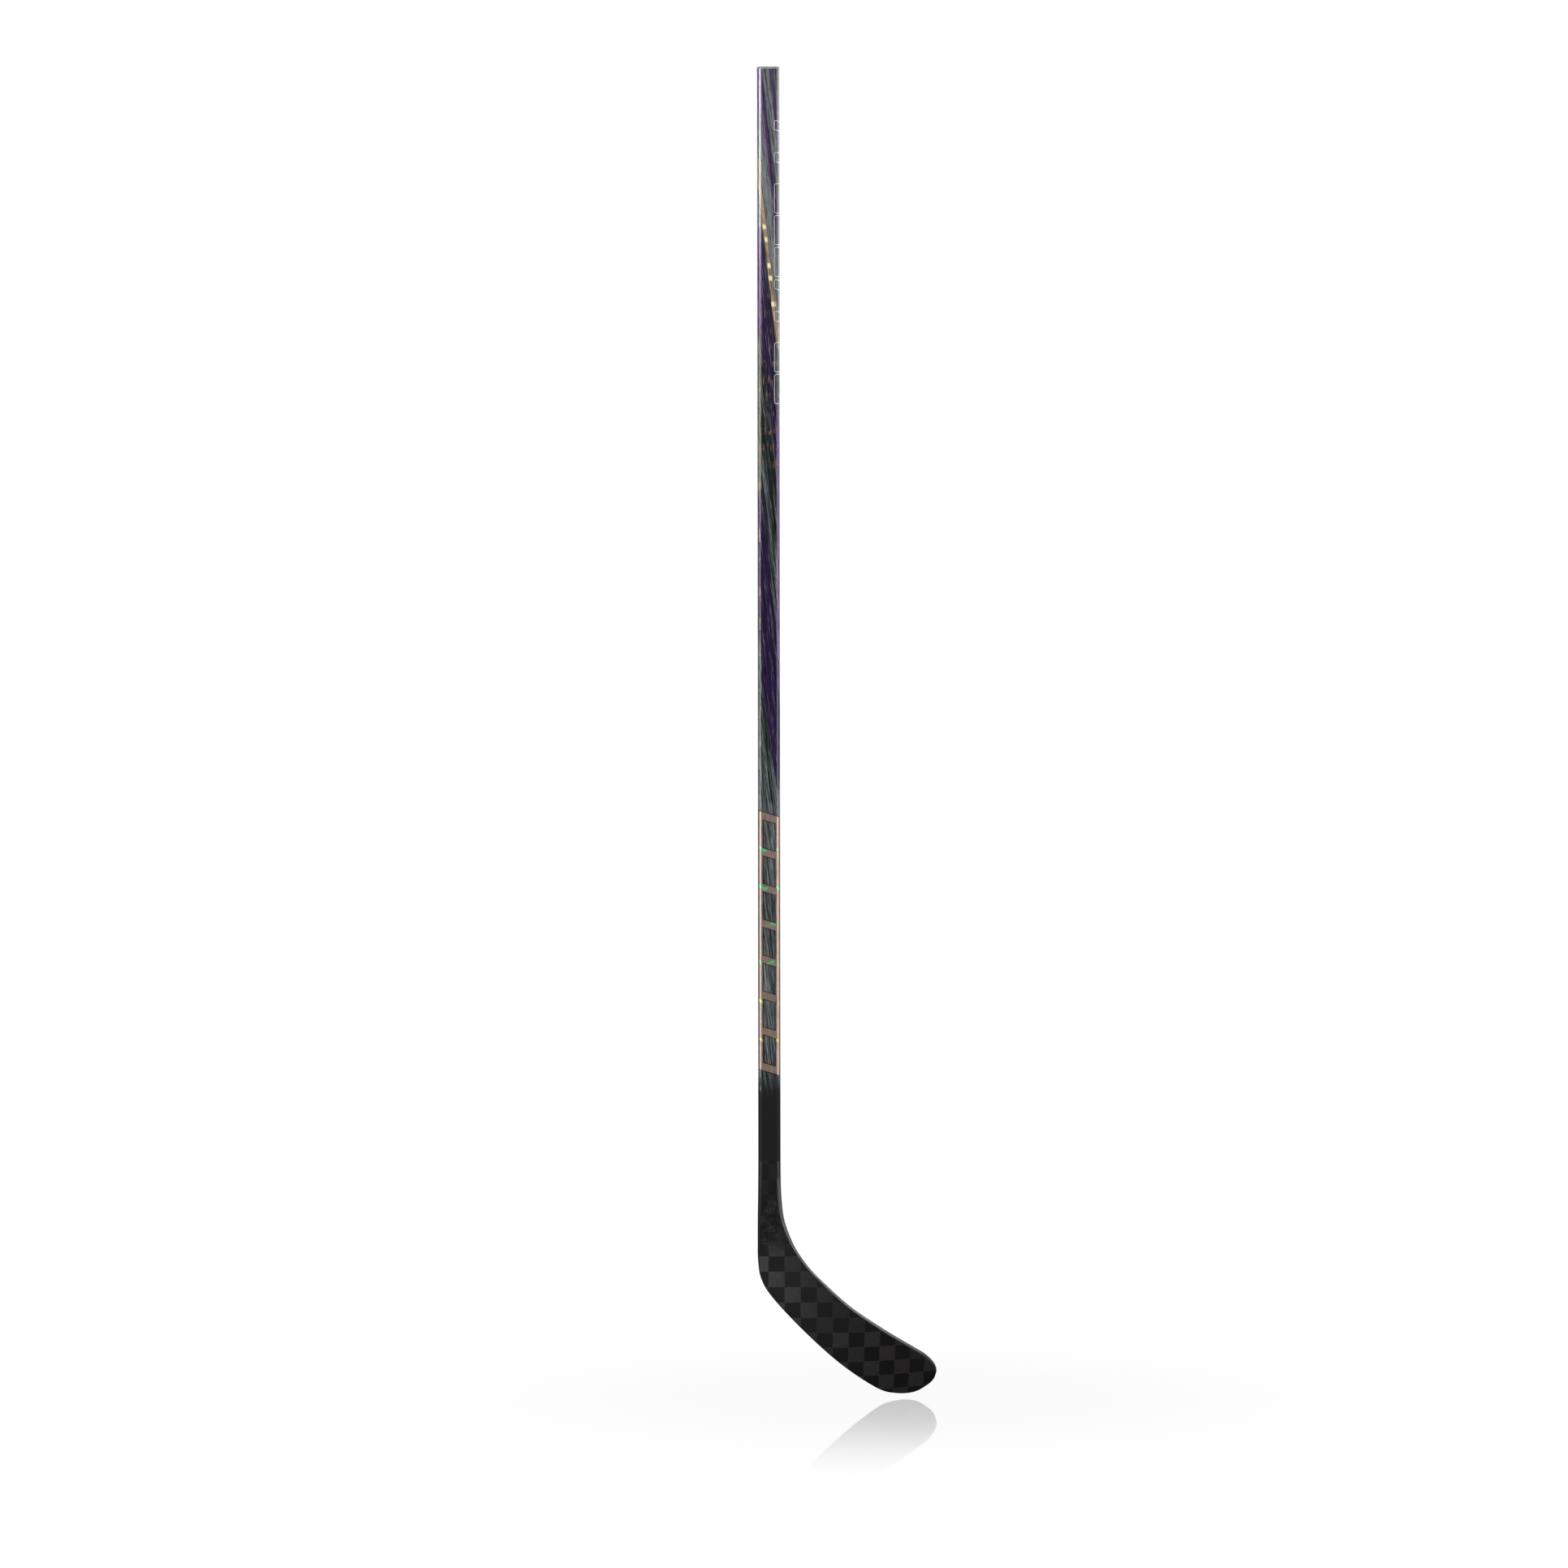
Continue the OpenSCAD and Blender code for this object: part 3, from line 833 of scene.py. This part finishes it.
def foil_pattern(side, centre, foil, ink):
    """A regular ladder of foil with slanted rungs, on black that shows as a thin outline."""
    lean = LADDER_SLOPE * LADDER_HALF
    bottom, top = foil_low[2] + lean, foil_high[2] - lean - LADDER_RUNG
    pitch = (top - bottom) / LADDER_CELLS
    for name, finish, slot, margin, low, high, nodes in (
        (side + "_foil_outline", ink, "edge_laminate", INK_MARGIN, 0.0, 0.05 * MM, ()),
        (side + "_foil_film", foil, "foil", 0.0, 0.04 * MM, 0.11 * MM, (side + "_foil",)),
    ):
        half = LADDER_HALF + margin
        inner = LADDER_HALF - LADDER_RAIL - margin
        columns = fine([centre + e for e in (-half, -inner, inner, half)], 1.0 * MM)
        windows = [
            (bottom + k * pitch + LADDER_RUNG + margin, bottom + (k + 1) * pitch - margin)
            for k in range(LADDER_CELLS)
        ]
        edges = [z for window in windows for z in window]
        rows = fine([bottom - margin] + edges + [top + LADDER_RUNG + margin], 8 * MM)

        def filled(i, j):
            u = (columns[i] + columns[i + 1]) / 2 - centre
            z = (rows[j] + rows[j + 1]) / 2
            return abs(u) > inner or not any(w0 < z < w1 for w0, w1 in windows)

        plate(name, columns, rows, filled, LADDER_SLOPE, low, high, finish, slot, nodes)


# A corner's curve takes no more of a side than its length divided by this
CUT_LIMIT = 2.2


def rounded(corners, radius):
    """A closed loop of (u, z) places through the corners, with each corner cut to a curve."""
    def cut(corner, other):
        """Where the curve of a corner ends on the side that runs to another corner."""
        side = other - corner
        return corner + side.normalized() * min(radius, side.length / CUT_LIMIT)

    loop = []
    places = [Vector(corner) for corner in corners]
    for before, here, after in zip(places[-1:] + places, places, places[1:] + places[:1]):
        start, end, far = cut(here, before), cut(here, after), cut(after, here)
        loop += [(1 - t) ** 2 * start + 2 * t * (1 - t) * here + t * t * end for t in spread(0, 1, 5)]
        steps = max(1, round((after - here).length / (2 * MM)))
        loop += [end + (far - end) * k / steps for k in range(1, steps)]
    return loop


# Plain outlined blocks over the toe-side corner and narrow face
BLOCKS = 9
BLOCK_LEFT, BLOCK_RIGHT = 7.8 * MM, 34.5 * MM
BLOCK_LEAN = 5 * MM
BLOCK_ROUND = 2.5 * MM
# Share of the pitch that a short and a long block takes
SHORT, LONG = 0.3, 0.92
LINE_W, LINE_T = 0.85 * MM, 0.06 * MM


def outline(name, loop, finish):
    """A thin closed line of film along a loop on the shaft."""
    rings = []
    for i, place in enumerate(loop):
        along = (loop[(i + 1) % len(loop)] - loop[i - 1]).normalized()
        side = Vector((-along[1], along[0])) * LINE_W / 2
        inner, outer = place + side, place - side
        rings.append([around(*inner), around(*outer), around(*outer, LINE_T), around(*inner, LINE_T)])
    piece = new_piece(name, *sweep(rings, True))
    return dress(piece, finish, "stick", "pale_film", "outline_blocks")


def outline_row(finish):
    """Two short blocks and then long ones, over and over, from the butt end down."""
    top = block_high[2]
    pitch = (top - block_low[2]) / BLOCKS
    for k in range(BLOCKS):
        short = k % 5 < 2
        upper = top - k * pitch
        lower = upper - pitch * (SHORT if short else LONG)
        slant = -BLOCK_LEAN if short else 0.4 * BLOCK_LEAN
        corners = [(BLOCK_LEFT, upper), (BLOCK_LEFT, lower)]
        corners += [(BLOCK_RIGHT, lower + slant), (BLOCK_RIGHT, upper + slant)]
        outline("corner_outline_%02d" % (k + 1), rounded(corners, BLOCK_ROUND), finish)


# How far the plug's lid stands proud, the radius of its edge, the inset of its dish, the shaft's bore
LID_LIP = 0.15 * MM
LID_ROLL = 1.1 * MM
DISH = 7.4 * MM
BORE_W = 24 * MM
STEM_RIBS = 4


def plug_profile():
    """Half the plug's section as (inset from the shaft's sides, height): from the dish over the rolled
    edge, down the ribbed stem and up inside it."""
    wall = (SHAFT_W - BORE_W) / 2
    stem_out, stem_in, rib_out = wall + 0.9 * MM, wall + 2.5 * MM, wall + 0.1 * MM
    stem_low = plug_low[2]
    rib_pitch = (SHAFT_TOP - stem_low) / (STEM_RIBS + 1)
    profile = [(DISH, BUTT_TOP - 0.45 * MM), (4.6 * MM, BUTT_TOP - 0.40 * MM)]
    profile += [(4.0 * MM, BUTT_TOP - 0.10 * MM), (3.6 * MM, BUTT_TOP)]
    for k in range(7):
        angle = math.radians(15 * k)
        inset = LID_ROLL * (1 - math.sin(angle)) - LID_LIP
        profile.append((inset, BUTT_TOP - LID_ROLL * (1 - math.cos(angle))))
    profile += [(-LID_LIP, SHAFT_TOP + 0.25 * MM), (0.05 * MM, SHAFT_TOP)]
    profile += [(stem_out - 0.3 * MM, SHAFT_TOP), (stem_out, SHAFT_TOP - 0.3 * MM)]
    for k in range(1, STEM_RIBS + 1):
        middle = SHAFT_TOP - k * rib_pitch + 1 * MM
        slope = [(stem_out, 1.4 * MM), (rib_out + 0.3 * MM, 1.0 * MM), (rib_out, 0.6 * MM)]
        profile += [(inset, middle + up) for inset, up in slope]
        profile += [(inset, middle - up) for inset, up in reversed(slope)]
    profile += [(stem_out, stem_low + 0.8 * MM), (stem_out + 0.5 * MM, stem_low), (stem_in, stem_low)]
    profile += [(stem_in, SHAFT_TOP - 1.0 * MM), (stem_in + 1.0 * MM, SHAFT_TOP), (DISH, SHAFT_TOP)]
    return profile


def inset_point(u, z, inset):
    """A point round the shaft's section brought in by inset, which may be more than its corner radius."""
    point = around(u, z)
    return Vector((point[0] * (1 - 2 * inset / SHAFT_W), point[1] * (1 - 2 * inset / SHAFT_D), z))


def plug(finish):
    """The butt plug: a lid on a hollow stem with ribs."""
    stops = stops_round()
    rings = [[inset_point(u, z, inset) for u in stops] for inset, z in plug_profile()]
    piece = new_piece("butt_plug_moulding", *sweep(rings, False), 35)
    return dress(piece, finish, "plug", "plug_plastic", "butt_plug")


# ---- Pieces of the blade ----

# Share of the blade's length that rounds off at the toe
NOSE_ROUND = 0.013
NOSE_STEPS = 7
# Depths of the two edges, and the radius of the lower one across the thickness, in millimetres
EDGE_UPPER, EDGE_LOWER, LOWER_ROUND = 3.0, 1.4, 1.3
# The stretch over which the cloth is unrolled, in millimetres along the blade from the heel
CLOTH_START, CLOTH_END = -200, 320
ARC_STEPS = 8


def blade_stops():
    """(s, share of the thickness) along the blade; the thickness runs out in a round nose at the toe."""
    stops = [(s, 1.0) for s in spread(0, 1 - NOSE_ROUND, 4 * STATIONS)]
    for k in range(1, NOSE_STEPS + 1):
        angle = math.radians(90 * k / NOSE_STEPS)
        stops.append((1 - NOSE_ROUND + NOSE_ROUND * math.sin(angle), max(math.cos(angle), 0.05)))
    return stops


def half_t(s):
    """Half the thickness, in millimetres."""
    return mix(SHAFT_D / MM / 2, mix(HEEL_T, TOE_T, s) / 2, ease(s / HEEL_END))


def edge_depth(s, at_blade):
    """How far an edge piece reaches in from the outline: the corner radius at the hosel's top."""
    return mix(CORNER_R / MM, at_blade, ease(s / HEEL_END))


def cloth_lengths():
    """Distances along the curved middle of the blade, one for each millimetre seen square on."""
    total, lengths = 0.0, []
    for along in range(CLOTH_START, CLOTH_END):
        lengths.append(total)
        x = [(along + k) * math.cos(LAY) + TWIST_HEIGHT * math.sin(LAY) for k in (0, 1)]
        z = [TWIST_HEIGHT * math.cos(LAY) - (along + k) * math.sin(LAY) for k in (0, 1)]
        total += math.hypot(1, bow(x[1], z[1]) - bow(x[0], z[0]))
    return [length - lengths[-CLOTH_START] for length in lengths]


CLOTH = cloth_lengths()


def cloth_place(x, z):
    """Where a point of the blade lies on the flat cloth before it is bent round the curve."""
    along, up = along_up(x, z)
    step = min(max(math.floor(along), CLOTH_START), CLOTH_END - 2)
    k = step - CLOTH_START
    along = mix(CLOTH[k], CLOTH[k + 1], along - step)
    return along * math.cos(LAY) + up * math.sin(LAY), up * math.cos(LAY) - along * math.sin(LAY)


def blade_piece(name, ring, finish, slot, node):
    """A closed solid swept along the blade. ring(s, share) lists (u, n) places, in millimetres."""
    rings, runs, turns = [], [], []
    run = 0.0
    for s, share in blade_stops():
        places = ring(s, share)
        row = [blade_point(s, u, n) for u, n in places]
        if rings:
            run += (row[0] - rings[-1][0]).length / MM
        turn = 0.0
        for k, point in enumerate(row):
            if k:
                turn += (point - row[k - 1]).length / MM
            turns.append(turn)
            runs.append(run)
        rings.append(row)
    points, faces = sweep(rings, False)
    piece = new_piece(name, points, faces, 50)
    cloth = [cloth_place(p[0] / MM, p[2] / MM) for p in points]
    point_attribute(piece, "cloth_x", [c[0] for c in cloth])
    point_attribute(piece, "cloth_z", [c[1] for c in cloth])
    point_attribute(piece, "run", runs)
    point_attribute(piece, "turn", turns)
    return dress(piece, finish, "stick", slot, node)


def face_ring(side):
    """The woven face on one side: -1 is the backhand and 1 the forehand."""
    def ring(s, share):
        low, high = edge_depth(s, EDGE_LOWER), across(s) - edge_depth(s, EDGE_UPPER)
        out = half_t(s) * share
        under = out - min(FACE_PLY, 0.5 * out)
        outside = [(u, side * out) for u in spread(low, high, 20)]
        return outside + [(u, side * under) for u in spread(high, low, 6)]
    return ring


def edge_ring(upper):
    """A rounded edge: an arc, the straight part and another arc, closed along its flat inner side."""
    def ring(s, share):
        half = half_t(s) * share
        depth = edge_depth(s, EDGE_UPPER if upper else EDGE_LOWER)
        round_n = CORNER_R / MM if upper else edge_depth(s, LOWER_ROUND)
        round_n = min(round_n, half - 0.01)
        arc = []
        for k in range(ARC_STEPS + 1):
            angle = math.radians(90 * k / ARC_STEPS)
            arc.append((depth * math.sin(angle), -half + round_n * (1 - math.cos(angle))))
        flat = half - round_n
        outside = arc + [(depth, mix(-flat, flat, k / 4)) for k in (1, 2, 3)]
        outside += [(u, -n) for u, n in reversed(arc)]
        whole = outside + [(0.0, mix(half, -half, k / 4)) for k in (1, 2, 3)]
        if upper:
            return [(across(s) - depth + u, n) for u, n in whole]
        return [(depth - u, n) for u, n in whole]
    return ring


# ---- Make the object ----

coat = shaft_finish("wound_ply_clear_coat", False)
bare = shaft_finish("wound_ply_matt", True)
ink = film_finish("black_ink_film", "#0b0b0c", 0.4)
foil = foil_finish()
pale = film_finish("pale_film", "#c6cacc", 0.35)
weave = blade_finish()

matt_top = foil_low[2] - 2 * MM
levels = spread(matt_top, SHAFT_TOP, 4)
shaft_skin("shaft_skin_hosel", HOSEL_TOP, matt_top, bare)
for part, low, high in zip(("lower", "middle", "upper", "butt"), levels, levels[1:]):
    shaft_skin("shaft_skin_" + part, low, high, coat)
foil_pattern("backhand", 0.0, foil, ink)
foil_pattern("forehand", HALF_WAY, foil, ink)
outline_row(pale)
plug(plug_finish())

blade_piece("backhand_weave", face_ring(-1), weave, "blade_weave", "backhand_face")
blade_piece("forehand_weave", face_ring(1), weave, "blade_weave", "forehand_face")
upper_roving = edge_finish("upper_roving", "#464648", 0.34, 0.5)
lower_roving = edge_finish("lower_roving", "#0e0e0f", 0.45, 0.2)
blade_piece("upper_edge_roving", edge_ring(True), upper_roving, "edge_laminate", "upper_edge")
blade_piece("lower_edge_roving", edge_ring(False), lower_roving, "edge_laminate", "lower_edge")
inner_finishes()


# ---- Floor, light and camera ----

CAMERA = Vector((0.0189, -6.0, 0.6236))
CAMERA_ROLL = math.radians(0.07)
# Half the floor's width, its distance below the blade, and how bright it is to all but the camera
FLOOR_REACH, FLOOR_GAP, FLOOR_GLOW = 6.0, 4 * MM, 0.12
# How much the floor reflects near the toe, how far back from the toe that is, and where it fades
GLOSS, GLOSS_BACK, GLOSS_NEAR, GLOSS_FAR = 0.42, 0.05, 0.05, 0.75


def set_range(node, *numbers):
    """Sets from low, from high, to low and to high of a Map Range node."""
    for socket, number in zip(list(node.inputs)[1:5], numbers):
        socket.default_value = number


def make_floor():
    """A plain pale floor, a little glossy near the stick."""
    level = toe_low[2] - FLOOR_GAP
    corners = [(-1, -1), (1, -1), (1, 1), (-1, 1)]
    mesh = bpy.data.meshes.new("floor")
    mesh.from_pydata([(x * FLOOR_REACH, y * FLOOR_REACH, level) for x, y in corners], [], [(0, 1, 2, 3)])
    floor = link(bpy.data.objects.new("floor", mesh))
    material = bpy.data.materials.new("pale_floor")
    material.use_nodes = True
    tree = material.node_tree
    tree.nodes.clear()

    def mixed(part, under, over):
        mixer = add_node(tree, "ShaderNodeMixShader")
        for socket, source in zip(mixer.inputs, (part, under, over)):
            tree.links.new(source, socket)
        return mixer.outputs[0]

    offset = add_node(tree, "ShaderNodeVectorMath", operation="DISTANCE")
    tree.links.new(add_node(tree, "ShaderNodeNewGeometry").outputs["Position"], offset.inputs[0])
    offset.inputs[1].default_value = (toe_high[0] - GLOSS_BACK, toe_high[1], level)
    fade = add_node(tree, "ShaderNodeMapRange", interpolation_type="SMOOTHSTEP")
    tree.links.new(offset.outputs["Value"], fade.inputs[0])
    set_range(fade, GLOSS_NEAR, GLOSS_FAR, GLOSS, 0.0)
    glow = add_node(tree, "ShaderNodeEmission")
    gloss = add_node(tree, "ShaderNodeBsdfGlossy")
    gloss.inputs["Color"].default_value = (1, 1, 1, 1)
    gloss.inputs["Roughness"].default_value = 0.03
    seen = mixed(fade.outputs[0], glow.outputs[0], gloss.outputs[0])
    bounce = add_node(tree, "ShaderNodeEmission")
    bounce.inputs["Strength"].default_value = FLOOR_GLOW
    direct = add_node(tree, "ShaderNodeLightPath").outputs["Is Camera Ray"]
    output = add_node(tree, "ShaderNodeOutputMaterial")
    tree.links.new(mixed(direct, bounce.outputs[0], seen), output.inputs["Surface"])
    mesh.materials.append(material)
    floor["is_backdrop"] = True


def make_world():
    """A white studio, dimmer in front of the object than behind it."""
    world = bpy.data.worlds.new("studio")
    bpy.context.scene.world = world
    world.use_nodes = True
    tree = world.node_tree
    background = tree.nodes["Background"]
    background.inputs["Color"].default_value = (1, 1, 1, 1)
    split = add_node(tree, "ShaderNodeSeparateXYZ")
    tree.links.new(add_node(tree, "ShaderNodeTexCoord").outputs["Generated"], split.inputs[0])
    level = add_node(tree, "ShaderNodeMapRange")
    set_range(level, -0.25, 0.9, 0.06, 0.9)
    tree.links.new(split.outputs[1], level.inputs[0])
    seen = add_node(tree, "ShaderNodeMix")
    tree.links.new(add_node(tree, "ShaderNodeLightPath").outputs["Is Camera Ray"], seen.inputs[0])
    tree.links.new(level.outputs[0], seen.inputs[2])
    seen.inputs[3].default_value = 1.0
    tree.links.new(seen.outputs[0], background.inputs["Strength"])


def soft_light(name, place, aim, width, height, power):
    """A rectangular lamp at a place, turned towards another."""
    lamp = bpy.data.lights.new(name, "AREA")
    lamp.shape = "RECTANGLE"
    lamp.size, lamp.size_y, lamp.energy = width, height, power
    light = link(bpy.data.objects.new(name, lamp))
    light.location = place
    light.rotation_euler = (Vector(aim) - Vector(place)).to_track_quat("-Z", "Y").to_euler()
    return light


make_floor()
make_world()
strip = soft_light("strip_left", (-0.87, -1.34, 1.76), (0, 0, 1.7), 1.5, 0.54, 42)
strip.visible_diffuse = False
soft_light("soft_right", (1.9, -0.65, 0.8), (0, 0, 0.8), 0.9, 2.0, 3)
soft_light("key_right", (2.6, -2.6, 1.0), (0, 0, 0.7), 2.6, 2.6, 70)
soft_light("key_left", (-2.6, -2.6, 1.0), (0, 0, 0.7), 2.6, 2.6, 84)
soft_light("top_right", (1.2, 0.2, 1.5), (0.1, 0, -0.05), 0.8, 0.8, 19)

lens = bpy.data.cameras.new("camera")
lens.sensor_width = 36
lens.lens = 109.6
camera = link(bpy.data.objects.new("camera", lens))
camera.location = CAMERA
camera.rotation_euler = (math.pi / 2, CAMERA_ROLL, 0)
bpy.context.scene.camera = camera
bpy.context.scene.view_settings.view_transform = "Standard"

low, high = [list(corner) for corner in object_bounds()]
